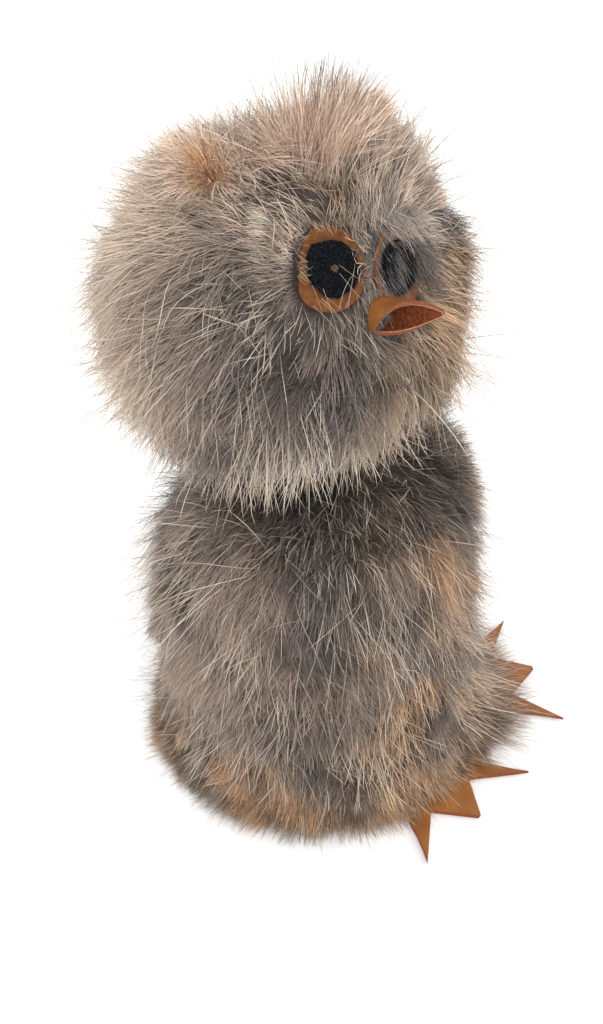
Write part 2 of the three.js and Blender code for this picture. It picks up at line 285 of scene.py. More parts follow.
def hair_room():
    """Lowest and highest corner of the room that hair may take round the CAD model, above the floor."""
    low, high = (np.array(corner) for corner in cad_box)
    spare = 0.0093 + 0.029 * (high - low)
    bottom = low - spare
    bottom[2] = 0.0004
    return bottom, high + spare


def shortened(lines):
    """Draws hair that would leave that room towards its root. On the floor, hair lies flat instead."""
    bottom, top = hair_room()
    bottom[2] = -1.0
    root = lines[:, :1]
    move = lines - root
    room = np.maximum(np.where(move > 0, top - root, root - bottom), 0)
    share = (room / np.maximum(np.abs(move), 1e-9)).min(axis=(1, 2))
    ragged = 0.8 + 0.2 * np.modf(0.618 * np.arange(len(lines)))[0]
    return root + move * np.where(share < 1, share * ragged, 1)[:, None, None]


def clamp_inside(points):
    return np.clip(points, *hair_room())


def ribbons(name, lines, widths, facing, colours, material):
    """One mesh of flat ribbons. lines is (strands, points, 3), and each ribbon ends in a point."""
    strands, points, _ = lines.shape
    lines = shortened(lines)
    across = unit(np.cross(np.gradient(lines, axis=1), facing[:, None, :]))
    taper = np.linspace(1.0, 0.6, points - 1)
    half = across[:, :-1] * (widths[:, None] * taper[None, :] / 2)[:, :, None]
    pairs = np.stack([lines[:, :-1] - half, lines[:, :-1] + half], axis=2)
    pairs = pairs.reshape(strands, 2 * (points - 1), 3)
    per = 2 * (points - 1) + 1
    vertices = clamp_inside(np.concatenate([pairs, lines[:, -1:]], axis=1).reshape(-1, 3))
    quads = points - 2
    base = (np.arange(strands) * per)[:, None]
    rung = (np.arange(quads) * 2)[None, :]
    quad = np.stack([base + rung, base + rung + 1, base + rung + 3, base + rung + 2], axis=2)
    tip = base + 2 * quads + np.arange(3)[None, :]
    loops = np.concatenate([quad.reshape(strands, -1), tip], axis=1)
    sizes = np.tile(np.array([4] * quads + [3]), strands)
    mesh = bpy.data.meshes.new(name)
    mesh.vertices.add(len(vertices))
    mesh.vertices.foreach_set("co", vertices.astype(np.float32).ravel())
    mesh.loops.add(loops.size)
    mesh.loops.foreach_set("vertex_index", loops.astype(np.int32).ravel())
    mesh.polygons.add(len(sizes))
    mesh.polygons.foreach_set("loop_start", np.concatenate([[0], np.cumsum(sizes)[:-1]]).astype(np.int32))
    mesh.polygons.foreach_set("loop_total", sizes.astype(np.int32))
    mesh.polygons.foreach_set("use_smooth", np.ones(len(sizes), bool))
    mesh.update(calc_edges=True)
    every = np.concatenate([np.repeat(colours[:, :-1], 2, axis=1), colours[:, -1:]], axis=1)
    rgba = np.ones((strands * per, 4), np.float32)
    rgba[:, :3] = every.reshape(-1, 3)
    layer = mesh.color_attributes.new("hair_colour", "FLOAT_COLOR", "POINT")
    layer.data.foreach_set("color", rgba.ravel())
    bake_cells(mesh, strands, points, loops)
    mesh.materials.append(material)
    piece = bpy.data.objects.new(name, mesh)
    bpy.context.scene.collection.objects.link(piece)
    return piece


def bake_cells(mesh, strands, points, loops):
    """A UV layer with every strand in a small cell of its own."""
    columns = int(math.ceil(math.sqrt(strands / 4)))
    rows = int(math.ceil(strands / columns))
    index = np.arange(strands)
    left = (index % columns + 0.2) / columns
    low = (index // columns + 0.15) / rows
    height = np.linspace(0, 0.7 / rows, points)
    v = np.concatenate([np.repeat(height[:-1], 2), height[-1:]])
    u = np.concatenate([np.tile([0, 0.6 / columns], points - 1), [0.3 / columns]])
    uv = np.stack([left[:, None] + u[None, :], low[:, None] + v[None, :]], axis=2).reshape(-1, 2)
    layer = mesh.uv_layers.new(name="OFBake")
    layer.data.foreach_set("uv", uv[loops.ravel()].astype(np.float32).ravel())


def hair_pieces(name, lines, widths, facing, colours, body):
    """Splits a coat into pieces of a workable size and rides them on their body."""
    made = []
    share = max(1, math.ceil(len(lines) / STRANDS_PER_PIECE))
    for part in range(share):
        chosen = slice(part * len(lines) // share, (part + 1) * len(lines) // share)
        label = name if share == 1 else f"{name}_{part + 1}"
        piece = ribbons(label, lines[chosen], widths[chosen], facing[chosen], colours[chosen], HAIR)
        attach(piece, body)
        made.append(piece)
    return made


# ---------------------------------------------------------------- growing hair


def outer_faces(node, keep):
    """Corners, normals and areas of those CAD triangles whose middle and normal pass keep."""
    mesh = NODES[node].data
    mesh.calc_loop_triangles()
    points = np.array([v.co for v in mesh.vertices])
    corners = np.array([t.vertices for t in mesh.loop_triangles])
    a, b, c = (points[corners[:, i]] for i in range(3))
    cross = np.cross(b - a, c - a)
    area = np.linalg.norm(cross, axis=1) / 2
    use = keep((a + b + c) / 3, unit(cross)) & (area > 1e-12)
    return a[use], b[use], c[use], area[use]


def scatter(faces, count):
    """Random places on the faces, and the number of the face that each lies on."""
    a, b, c, area = faces
    pick = rng.choice(len(area), count, p=area / area.sum())
    u, v = rng.random(count), rng.random(count)
    flip = u + v > 1
    u[flip], v[flip] = 1 - u[flip], 1 - v[flip]
    return a[pick] + u[:, None] * (b[pick] - a[pick]) + v[:, None] * (c[pick] - a[pick]), pick


def soft_noise(points, size, seed):
    """Smooth noise from -1 to 1 whose blobs are about size metres across."""
    local = np.random.default_rng(seed)
    total = np.zeros(len(points))
    for _ in range(9):
        direction = unit(local.normal(size=3)) * math.pi / size * local.uniform(0.6, 1.7)
        total += np.sin(points @ direction + local.uniform(0, 2 * math.pi))
    return np.clip(total / 3.2, -1, 1)


def noise_vector(points, size, seed):
    return np.stack([soft_noise(points, size, seed + i) for i in range(3)], axis=1)


REGION_TURN, REGION_SIZE = 0.4, 0.022     # how far whole regions of hair turn, and their size in metres
LOCK_TURN, LOCK_SIZE = 0.32, 0.0045       # the same for each small lock of hair


def grow(roots, normal_at, flow_at, length, steps, lift, lay, stray, droop, seed):
    """Centre lines of hair that leaves its skin at lift radians and lies down to lay radians at the tip."""
    turn = REGION_TURN * noise_vector(roots, REGION_SIZE, seed)
    turn = turn + LOCK_TURN * noise_vector(roots, LOCK_SIZE, seed + 10)
    turn = turn + stray * rng.normal(size=roots.shape)
    kink = 0.6 * stray * rng.normal(size=roots.shape)
    at = roots
    lines = [at]
    for k in range(steps - 1):
        s = (k + 0.5) / (steps - 1)
        rise = (lift + (lay - lift) * s ** 0.6)[:, None]
        heading = flow_at(at) * np.cos(rise) + normal_at(at) * np.sin(rise)
        heading = heading + turn + kink * math.sin(3 * s)
        heading = heading + droop * s * np.array([0, 0, -1.0])
        heading = unit(heading)
        out = normal_at(at)
        heading = heading - out * np.minimum(dot(heading, out) - 0.05, 0)
        at = at + unit(heading) * (length / (steps - 1))[:, None]
        lines.append(at)
    return np.stack(lines, axis=1)


def gathered(lines, size, pull):
    """Draws the tips of neighbouring hairs together into locks about size metres wide."""
    roots = lines[:, 0]
    spread = max(1, int(len(roots) / max(1, len(set(map(tuple, (roots // size).astype(int)))))))
    leaders = lines[::spread]
    tree = KDTree(len(leaders))
    for i, root in enumerate(leaders[:, 0]):
        tree.insert(root, i)
    tree.balance()
    owner = np.array([tree.find(root)[1] for root in roots])
    s = np.linspace(0, 1, lines.shape[1])[None, :, None] ** 1.4
    share = pull * rng.uniform(0.2, 1.0, len(lines))[:, None, None] * s
    return lines + (leaders[owner] - lines) * share, owner


def shaded(root, body, tip, steps, where=0.4):
    """Colours along each strand, through three colours from root to tip."""
    s = np.linspace(0, 1, steps)
    first = np.clip(s / where, 0, 1)[None, :, None]
    second = np.clip((s - where) / (1 - where), 0, 1)[None, :, None]
    return root[:, None, :] + (body - root)[:, None, :] * first + (tip - body)[:, None, :] * second


# ---------------------------------------------------------------- colours, as linear red, green, blue

SLATE = np.array([0.078, 0.064, 0.058])
TAUPE = np.array([0.180, 0.134, 0.106])
BEIGE = np.array([0.50, 0.385, 0.300])
CREAM = np.array([0.76, 0.63, 0.49])
IVORY = np.array([0.84, 0.77, 0.66])
RUST = np.array([0.42, 0.205, 0.095])
GOLD = np.array([0.60, 0.39, 0.215])
PINK_TAN = np.array([0.68, 0.46, 0.33])
DARK_TIP = np.array([0.06, 0.046, 0.042])

def mixed(a, b, t):
    t = np.clip(t, 0, 1)
    return a + (b - a) * (t[:, None] if np.ndim(t) else t)


def around(directions, bearing, rise, inner, outer):
    """1 within inner degrees of a place on the head, falling to 0 at outer degrees."""
    angle = np.degrees(np.arccos(np.clip(directions @ toward(bearing, rise), -1, 1)))
    return 1 - step(angle, inner, outer)


def head_tint(roots):
    out = unit(roots - HEAD)
    base = mixed(repeat(SLATE, len(roots)), TAUPE, 0.5 + 0.75 * soft_noise(roots, 0.018, 31))
    # Painted backlight: the head's side towards the back, about bearing 215, is painted pale beige.
    base = mixed(base, BEIGE * 1.25, 0.95 * around(out, 215, 20, 34, 72))
    base = mixed(base, BEIGE * 0.9, 0.7 * around(out, 150, 60, 25, 60))
    base = mixed(base, BEIGE, 0.85 * around(out, 285, 46, 14, 32))
    base = mixed(base, BEIGE * 1.05, 0.8 * around(out, 8, 38, 14, 34))
    base = mixed(base, GOLD * 0.8, 0.7 * around(out, 325, 55, 3, 12))
    base = mixed(base, GOLD * 0.7, 0.6 * around(out, 345, -16, 10, 34))
    base = mixed(base, (RUST + GOLD) * 0.6, 0.75 * around(out, 12, -2, 10, 30))
    return mixed(base, SLATE * 0.8, 0.7 * around(out, 276, 16, 16, 34))


def body_tint(roots):
    bearing = np.degrees(np.arctan2(roots[:, 0] - BASE[0], -(roots[:, 1] - BASE[1]))) % 360
    front = 1 - step(np.abs((bearing - 350 + 180) % 360 - 180), 20, 62)
    left = 1 - step(np.abs((bearing - 235 + 180) % 360 - 180), 15, 50)
    base = mixed(repeat(SLATE, len(roots)), TAUPE, 0.45 + 0.9 * soft_noise(roots, 0.018, 41))
    base = mixed(base, BEIGE * 0.75, 0.5 * left)
    patch = 0.5 + 0.9 * soft_noise(roots, 0.016, 42)
    base = mixed(base, (RUST + GOLD) * 0.40, 0.85 * front * patch)
    low = 1 - step(roots[:, 2], 0.012, 0.045)
    base = mixed(base, (RUST + GOLD) * 0.42, 0.85 * low * (0.5 + 0.9 * soft_noise(roots, 0.014, 43)))
    base = mixed(base, BEIGE * 0.9, 0.8 * toward_left_foot(roots) * low)
    # Painted shade under the head: the fur in the groove by the neck is darkened, less so on the left
    # shoulder.
    groove = step(roots[:, 2], 0.111, 0.121) * (1 - 0.5 * toward_left(roots))
    return mixed(base, SLATE * 0.45, 0.85 * groove)


# ---------------------------------------------------------------- flow over the body and head


def axis_at(points):
    share = np.clip((points[:, 2:] - 0.03) / (0.112 - 0.03), 0, 1)
    return BASE[:2] + (NECK[:2] - BASE[:2]) * share


def body_out(points):
    """Outward from the body, tilting upward over the shoulders."""
    flat = np.zeros((len(points), 3))
    flat[:, :2] = points[:, :2] - axis_at(points)
    shoulder = step(points[:, 2], 0.095, 0.125)[:, None]
    return unit(unit(flat) * (1 - 0.75 * shoulder) + np.array([0, 0, 0.9]) * shoulder)


def body_down(points):
    """Away from the neck over the shoulders, then down."""
    out = body_out(points)
    flat = np.zeros((len(points), 3))
    flat[:, :2] = points[:, :2] - axis_at(points)
    shoulder = step(points[:, 2], 0.085, 0.125)[:, None]
    heading = np.array([0, 0, -1.0]) * (1 - 0.55 * shoulder) + unit(flat) * 1.1 * shoulder
    return unit(heading - dot(heading, out) * out)


def hem_down(points):
    flat = np.zeros((len(points), 3))
    flat[:, :2] = points[:, :2] - BASE[:2]
    splay = 1 - step(points[:, 2], 0.001, 0.012)[:, None]
    return unit(np.array([0, 0, -1.0]) * (1 - 0.85 * splay) + unit(flat) * (0.25 + 0.9 * splay))


def head_out(points):
    return unit(points - HEAD)


def head_back(points):
    """Away from the face, and down by its own weight where the head hangs over."""
    out = head_out(points)
    away = points - (HEAD + FORWARD * BALL_R)
    away = unit(away - dot(away, out) * out)
    for eye in (RIGHT_EYE, LEFT_EYE):
        off = points - eye
        near = 1 - step(np.linalg.norm(off, axis=1), 0.013, 0.026)[:, None]
        away = unit(away * (1 - 0.85 * near) + unit(off - dot(off, out) * out) * near)
    down = np.array([0, 0, -1.0])
    down = down - dot(repeat(down, len(points)), out) * out
    hang = step(-out[:, 2], -0.80, 0.15)[:, None]
    return unit(away * (1 - 0.45 * hang) + down * 1.1 * hang)


def head_dip(points):
    """How far the skin lies inside the CAD ball: the head is flatter behind the crest and at the back."""
    out = head_out(points)
    return 0.0105 * around(out, 142, 52, 22, 62) + 0.0040 * around(out, 205, 5, 20, 62) + 0.0008


def eye_distance(points):
    right = np.linalg.norm(points - RIGHT_EYE, axis=1)
    left = np.linalg.norm(points - LEFT_EYE, axis=1)
    return np.minimum(right, left)


def clear_of_face(points):
    """False under the eye patches and the beak, where no fur grows, and thinned out at the back."""
    keep = rng.random(len(points)) > 0.45 * around(head_out(points), 200, 8, 20, 50)
    for eye in (RIGHT_EYE, LEFT_EYE):
        off = points - eye
        keep &= (off @ LATERAL / 0.0098) ** 2 + (off @ BROW / 0.0122) ** 2 > 1
    beak_low, beak_high = (np.array(corner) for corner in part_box("beak"))
    return keep & (np.linalg.norm(points - (beak_low + beak_high) / 2, axis=1) > 0.0125)


def head_length(roots):
    """Short by the eyes, long on the cheeks and at the back, where it hangs, and short under the chin."""
    out = head_out(roots)
    near = step(eye_distance(roots), 0.012, 0.045)
    chin = around(out, 320, -55, 15, 48)
    cheek = around(out, 15, -12, 10, 38)
    back = around(out, 205, 5, 25, 60)
    top = around(out, 142, 55, 20, 60)
    return (0.0085 + 0.0155 * near) * (1 - 0.42 * chin) * (1 - 0.35 * top) + 0.012 * cheek + 0.006 * back


def body_length(roots):
    """Shorter fur in the groove by the neck and low down, longer on the shoulders."""
    groove = step(roots[:, 2], 0.106, 0.118)
    low = 1 - step(roots[:, 2], 0.03, 0.07)
    shoulder = step(roots[:, 2], 0.080, 0.095) * (1 - groove)
    beside = 1 - 0.7 * around(head_out(roots) * [1, 1, 0], 300, 0, 15, 60)
    return 0.020 - 0.006 * groove * (1 - toward_left(roots)) - 0.003 * low + 0.004 * shoulder * beside


def toward_left(roots):
    """1 on the owl's left shoulder, falling to 0 at the front and back."""
    bearing = np.degrees(np.arctan2(roots[:, 0] - BASE[0], -(roots[:, 1] - BASE[1])))
    return 1 - step(np.abs(bearing - 35), 15, 50)


def toward_left_foot(roots):
    """1 over the owl's left foot, falling to 0 at its right foot and its left side."""
    bearing = np.degrees(np.arctan2(roots[:, 0] - BASE[0], -(roots[:, 1] - BASE[1])))
    return 1 - step(np.abs(bearing - 30), 15, 50)


def hem_length(roots):
    return 0.0145 + 0.012 * toward_left_foot(roots)


# ---------------------------------------------------------------- the coat


# Each layer's name, points in a hair, length as a share of the coat's, range of widths, how far locks
# draw together, size of a lock, and how far each hair strays.
LAYERS = [
    ("underfur", 5, 0.72, (0.00018, 0.00030), 0.50, 0.006, 0.14),
    ("long_fur", 6, 1.05, (0.00017, 0.00028), 0.50, 0.0045, 0.22),
    ("guard_hair", 7, 1.30, (0.00020, 0.00034), 0.15, 0.004, 0.34),
]


def coat(name, faces, body, counts, outward, flow, length, tint, lift, lay, keep, dip, seed):
    """Dense underfur in soft locks, longer hair through it, and pale guard hair that crosses over it."""
    made = []
    for layer, (word, steps, share, width, pull, lock_size, stray) in enumerate(LAYERS):
        roots, _ = scatter(faces, amount(counts[layer]))
        roots = roots[keep(roots)]
        roots = roots - outward(roots) * dip(roots)[:, None]
        number = len(roots)
        reach = length(roots) * share * rng.uniform(0.6, 1.12, number)
        rise = lift(roots) * (0.85 if word == "guard_hair" else 1.0) + 0.12 * rng.normal(size=number)
        lines = grow(
            roots, outward, flow, reach, steps, np.clip(rise, 0.05, 1.5), repeat(lay, number)[:, 0],
            stray=stray, droop=0.12 if word == "guard_hair" else 0.06, seed=seed + 100 * layer)
        lines, owner = gathered(lines, lock_size, pull)
        tone = tint(roots)
        lock_tone = np.random.default_rng(seed + layer).lognormal(0, 0.30, owner.max() + 1)[owner]
        own_tone = rng.lognormal(0, 0.25, number)
        tone = np.clip(tone * (lock_tone * own_tone)[:, None], 0.01, 0.9)
        colours = hair_colours(word, tone, number, steps)
        widths = rng.uniform(*width, number) / 1.0
        made += hair_pieces(f"{name}_{word}", lines, widths, outward(roots), colours, body)
    return made


def hair_colours(word, tone, number, steps):
    # The dark roots are partly the fur's own darker base and partly painted shade deep among the locks.
    if word == "underfur":
        return shaded(tone * 0.14, tone * 0.75, mixed(tone * 1.1, BEIGE, 0.12), steps, where=0.5)
    if word == "long_fur":
        pale = rng.random(number) ** 1.5
        return shaded(tone * 0.2, tone, mixed(tone * 1.15, BEIGE * 1.05, pale), steps)
    pick = rng.random((number, 1))
    tip = np.where(pick < 0.15, IVORY, np.where(pick < 0.55, CREAM, BEIGE * 1.1))
    tip = tip * rng.uniform(0.75, 1.05, (number, 1))
    return shaded(tone * 0.5, mixed(tone, tip, 0.55), tip, steps, where=0.35)


def even(value):
    return lambda roots: np.full(len(roots), value)


def body_lift(roots):
    rise = 0.36 + 0.30 * step(roots[:, 2], 0.06, 0.09) - 0.30 * step(roots[:, 2], 0.106, 0.118)
    return rise + 0.35 * toward_left(roots) * step(roots[:, 2], 0.07, 0.10)


def head_lift(roots):
    out = head_out(roots)
    near = 1 - step(eye_distance(roots), 0.014, 0.036)
    return 0.40 + 0.55 * around(out, 15, -12, 10, 40) + 0.2 * around(out, 205, 8, 20, 50) + 0.45 * near


def on_outside_of_neck(mid, normal):
    return ((mid - NECK)[:, :2] * normal[:, :2]).sum(1) > 0


def everywhere(roots):
    return np.ones(len(roots), bool)


def on_outside_of_body(mid, normal):
    flat = mid[:, :2] - axis_at(mid)
    outward = (flat * normal[:, :2]).sum(1) > 0
    on_top = (normal[:, 2] > 0.3) & (mid[:, 2] > 0.1)
    return outward | on_top


def on_outside_of_hem(mid, normal):
    flat = mid[:, :2] - BASE[:2]
    return (flat * normal[:, :2]).sum(1) > 0.3 * np.linalg.norm(flat, axis=1)


def on_outside_of_head(mid, normal):
    out = mid - HEAD
    return ((out * normal).sum(1) > 0) & (np.linalg.norm(out, axis=1) > 0.8 * BALL_R)


def strands(name, roots, headings, length, width, colours, body, slot, bend, stray, facing=None):
    """Single hairs that start along their headings and bend a little."""
    number, steps = len(roots), 7
    bow = stray * rng.normal(size=(number, 3))
    at, lines = roots, [roots]
    for k in range(steps - 1):
        s = (k + 0.5) / (steps - 1)
        at = at + unit(headings + bow * s + np.array(bend) * s) * (length / (steps - 1))[:, None]
        lines.append(at)
    facing = head_out(roots) if facing is None else facing
    return hair_pieces(name, np.stack(lines, axis=1), width, facing, colours(number, steps), body)


def coloured(root, body, tip, spread=0.2):
    def paint(number, steps):
        tone = rng.lognormal(0, spread, (number, 1))
        ends = [repeat(colour, number) * tone for colour in (root, body, tip)]
        return shaded(*ends, steps)
    return paint


# ---------------------------------------------------------------- pieces made from CAD shapes


def copied(node, join=True):
    """A bmesh of a CAD node's shape, in clean faces."""
    bm = bmesh.new()
    bm.from_mesh(NODES[node].data)
    bmesh.ops.remove_doubles(bm, verts=bm.verts, dist=1e-6)
    if join:
        bmesh.ops.dissolve_limit(bm, angle_limit=math.radians(1.5), verts=bm.verts, edges=bm.edges)
    bm.normal_update()
    return bm


def finished(bm, name, node, body, materials, smooth_under=40):
    """Turns a bmesh into the piece that stands for a CAD node."""
    bm.normal_update()
    mesh = bpy.data.meshes.new(name)
    bm.to_mesh(mesh)
    bm.free()
    for material in materials:
        mesh.materials.append(material)
    piece = bpy.data.objects.new(name, mesh)
    bpy.context.scene.collection.objects.link(piece)
    mesh.polygons.foreach_set("use_smooth", np.ones(len(mesh.polygons), bool))
    mesh.set_sharp_from_angle(angle=math.radians(smooth_under))
    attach(piece, body)
    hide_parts(node)
    return piece


def soft_copy(node, name, body, material, depth, size, cuts=1, dip=None):
    """A CAD node's shape with finer faces and a gently uneven surface, never outside the original."""
    bm = copied(node, join=False)
    bmesh.ops.subdivide_edges(bm, edges=bm.edges, cuts=cuts, use_grid_fill=True)
    bm.normal_update()
    points = np.array([v.co for v in bm.verts])
    inward = depth * (0.5 + 0.5 * soft_noise(points, size, 77))
    if dip:
        inward = inward + dip(points) * (np.linalg.norm(points - HEAD, axis=1) > 0.97 * BALL_R)
    for vertex, move in zip(bm.verts, inward):
        vertex.co -= vertex.normal * float(move)
    return finished(bm, name, node, body, [material], smooth_under=60)


def cut_leather(node, name, body, face, edge, normal, round_off=0.00022, ragged=0.00006):
    """Flat leather: rounded rims, and a cut edge of its own colour. normal is the leather's own."""
    bm = copied(node)
    for f in bm.faces:
        f.material_index = 0 if abs(np.dot(f.normal, normal)) > 0.7 else 1
    rims = [e for e in bm.edges if len({f.material_index for f in e.link_faces}) == 2]
    bmesh.ops.bevel(bm, geom=rims, offset=round_off, segments=3, profile=0.6, affect="EDGES", material=1)
    points = np.array([v.co for v in bm.verts])
    push = ragged * noise_vector(points, 0.0011, 91)
    for vertex, move in zip(bm.verts, push):
        vertex.co += Vector(move - np.dot(move, normal) * np.asarray(normal))
    return finished(bm, name, node, body, [face, edge])


def rolled_beak():
    """The beak's rolled leather: smooth outside, suede inside, thick cut rim with a pale line in it."""
    swing, drop = math.radians(16), 0.052       # towards the owl's left, and down
    axis = unit(FORWARD * math.cos(swing) + LATERAL * math.sin(swing) - drop * BROW)
    bm = copied("beak", join=False)
    points = np.array([v.co for v in bm.verts])
    along = points @ axis
    root = points[along < along.min() + 0.0012].mean(axis=0)
    bmesh.ops.join_triangles(bm, faces=bm.faces, angle_face_threshold=0.7, angle_shape_threshold=0.9)
    bm.normal_update()
    for f in bm.faces:
        centre = np.array(f.calc_center_median()) - root
        radial = unit(centre - centre.dot(axis) * axis)
        facing = float(np.dot(f.normal, radial))
        f.material_index = 0 if facing > 0.75 else 1 if facing < -0.75 else 2
    outer_rim = [e for e in bm.edges if {f.material_index for f in e.link_faces} == {0, 2}]
    bmesh.ops.bevel(bm, geom=outer_rim, offset=0.0003, segments=3, profile=0.6, affect="EDGES", material=2)
    inner_rim = [e for e in bm.edges if {f.material_index for f in e.link_faces} == {1, 2}]
    bmesh.ops.bevel(bm, geom=inner_rim, offset=0.0002, segments=2, profile=0.6, affect="EDGES", material=3)
    bmesh.ops.subdivide_edges(bm, edges=bm.edges, cuts=1, use_grid_fill=True, smooth=0.0)
    points = np.array([v.co for v in bm.verts])
    push = 0.00005 * noise_vector(points, 0.0012, 93)
    for vertex, move in zip(bm.verts, push):
        vertex.co += Vector(move)
    outside = surface("beak_outside", (0.17, 0.056, 0.008), (0.27, 0.092, 0.016), 240, 0.6,
                      [(1500, 0.25, 0.0002), (420, 0.3, 0.0004)])
    suede = surface("beak_suede", (0.115, 0.028, 0.010), (0.25, 0.070, 0.027), 900, 0.95,
                    [(2600, 0.9, 0.0005)], specular=0.1)
    rim = surface("beak_cut_rim", (0.17, 0.048, 0.020), (0.28, 0.090, 0.040), 1400, 0.9,
                  [(2600, 0.7, 0.0004)])
    line = surface("beak_pale_line", (0.36, 0.16, 0.085), (0.48, 0.24, 0.14), 1400, 0.9)
    return finished(bm, "beak_leather", "beak", "head", [outside, suede, rim, line], 50)


def fuzz(name, node, count, length, width, colour, body, slot):
    """Short loose fibres standing out of a piece of felt or thread."""
    faces = outer_faces(node, lambda mid, normal: np.ones(len(mid), bool))
    a, b, c, _ = faces
    normals = unit(np.cross(b - a, c - a))
    roots, pick = scatter(faces, count)
    front = (roots - HEAD) @ FORWARD > 0
    roots, normal = roots[front], normals[pick][front]
    heading = unit(rng.normal(size=roots.shape) + 0.8 * normal)
    return strands(name, roots - 0.0001 * normal, heading, rng.uniform(*length, len(roots)),
                   rng.uniform(*width, len(roots)), colour, body, slot, bend=(0, 0, 0), stray=0.8,
                   facing=normal)


# ---------------------------------------------------------------- tufts and single hairs


def on_skin(bearing, rise):
    """The place on the head's skin in this direction."""
    out = toward(bearing, rise)
    return HEAD + out * (BALL_R - 0.001 - head_dip(HEAD[None, :] + out)[0])


def tuft(name, place, spread, count, heading, fan, length, width, paint, slot, droop=0.1, lock=0.3):
    """Hair fanning out of one place on the head. spread holds the two half widths of the place."""
    offset = np.clip(rng.normal(size=(count, 2)) * 0.6, -1.5, 1.5)
    across = [unit(np.asarray(v, float)) for v in spread]
    roots = place + offset[:, :1] * spread[0] + offset[:, 1:] * spread[1]
    locks = lock * noise_vector(roots, 0.004, 61)
    out = unit(roots - HEAD)
    roots = HEAD + out * (BALL_R - 0.001 - head_dip(roots))[:, None]
    headings = unit(heading + offset[:, :1] * fan[0] * across[0] + offset[:, 1:] * fan[1] * across[1]
                    + locks + 0.10 * rng.normal(size=(count, 3)))
    return strands(name, roots, headings, rng.uniform(*length, count), rng.uniform(*width, count), paint,
                   "head", slot, bend=(0, 0, -droop), stray=0.28)


def crest():
    """A dense tan fan that stands up, with dark tips, and thin pale wisps that fall away to both sides."""
    side, front = LATERAL, unit(np.cross([0, 0, 1.0], LATERAL))
    up = np.array([0, 0, 1.0])
    paint = coloured(TAUPE * 1.6, (0.76, 0.56, 0.43), (0.95, 0.77, 0.62))
    place = on_skin(322, 66)
    fan = tuft("crest_hair", place, (side * 0.0065, front * 0.006), amount(900), up, (0.34, 0.2),
               (0.018, 0.031), (0.00013, 0.00024), paint, "crest_fur", lock=0.5)
    dark = tuft("crest_dark_hair", place, (side * 0.007, front * 0.006), amount(420), up, (0.42, 0.3),
                (0.024, 0.036), (0.00012, 0.00022), coloured(TAUPE, PINK_TAN * 0.8, DARK_TIP), "crest_fur",
                lock=0.4)
    back_wisps = tuft("crest_back_wisps", on_skin(250, 72), (side * 0.005, front * 0.006), amount(420),
                      up * 0.9 - 1.0 * front, (0.25, 0.25), (0.018, 0.032), (0.00010, 0.00018), paint,
                      "crest_fur", droop=0.25)
    low_wisps = tuft("crest_low_wisps", on_skin(232, 62), (side * 0.003, front * 0.004), amount(200),
                     up * 0.55 - 1.0 * front, (0.2, 0.2), (0.018, 0.032), (0.00010, 0.00016), paint,
                     "crest_fur", droop=0.2)
    left_wisps = tuft("crest_left_wisps", on_skin(20, 66), (side * 0.014, front * 0.008), amount(300),
                      up + 0.5 * side, (0.4, 0.35), (0.009, 0.020), (0.00011, 0.00020),
                      coloured(TAUPE, BEIGE, PINK_TAN * 1.25), "crest_fur")
    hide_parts("crest_tuft")
    return fan + dark + back_wisps + low_wisps + left_wisps


def ear(word, bearing, rise, turn):
    """A tan tuft that curls over, rust brown inside, with dark hairs through it."""
    out = toward(bearing, rise)
    place = on_skin(bearing, rise)
    along = unit(np.cross(out, [0, 0, 1.0])) * turn
    up = np.array([0, 0, 1.0])
    heading = unit(0.35 * out + 0.75 * along + 0.75 * up)
    fur = tuft(f"{word}_ear_hair", place, (along * 0.0045, up * 0.005), amount(1150), heading, (0.3, 0.3),
               (0.016, 0.025), (0.00012, 0.00023),
               coloured(TAUPE, (0.66, 0.47, 0.35), (0.95, 0.76, 0.61)), "ear_fur", droop=0.9, lock=0.4)
    inner = tuft(f"{word}_ear_inner_hair", place - 0.002 * along, (along * 0.0035, up * 0.003), amount(1100),
                 unit(0.7 * out + 0.4 * along + 1.0 * up), (0.25, 0.25), (0.011, 0.018), (0.00016, 0.00028),
                 coloured(RUST * 0.8, RUST * 1.5, GOLD * 1.2), "ear_fur", droop=0.6)
    dark = tuft(f"{word}_ear_dark_hair", place, (along * 0.007, up * 0.006), amount(360), heading, (0.5, 0.4),
                (0.016, 0.027), (0.00011, 0.00018), coloured(TAUPE, TAUPE, DARK_TIP), "ear_fur", droop=1.1)
    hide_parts(f"{word}_ear_tuft")
    return fur + inner + dark


def loose_hair(name, eye, count, beside, above, in_front, across, up, out, length, width, paint):
    """Single hairs by an eye. The paired numbers are ranges, in metres or as shares of a heading."""
    def pick(low, high):
        return rng.uniform(low, high, count)[:, None]
    roots = eye + LATERAL * pick(*beside) + BROW * pick(*above) + FORWARD * in_front
    headings = unit(LATERAL * pick(*across) + BROW * pick(*up) + FORWARD * out)
    return strands(name, roots, headings, rng.uniform(*length, count), rng.uniform(*width, count), paint,
                   "head", "head_fur", bend=(0, 0, -0.2), stray=0.2, facing=repeat(FORWARD, count))


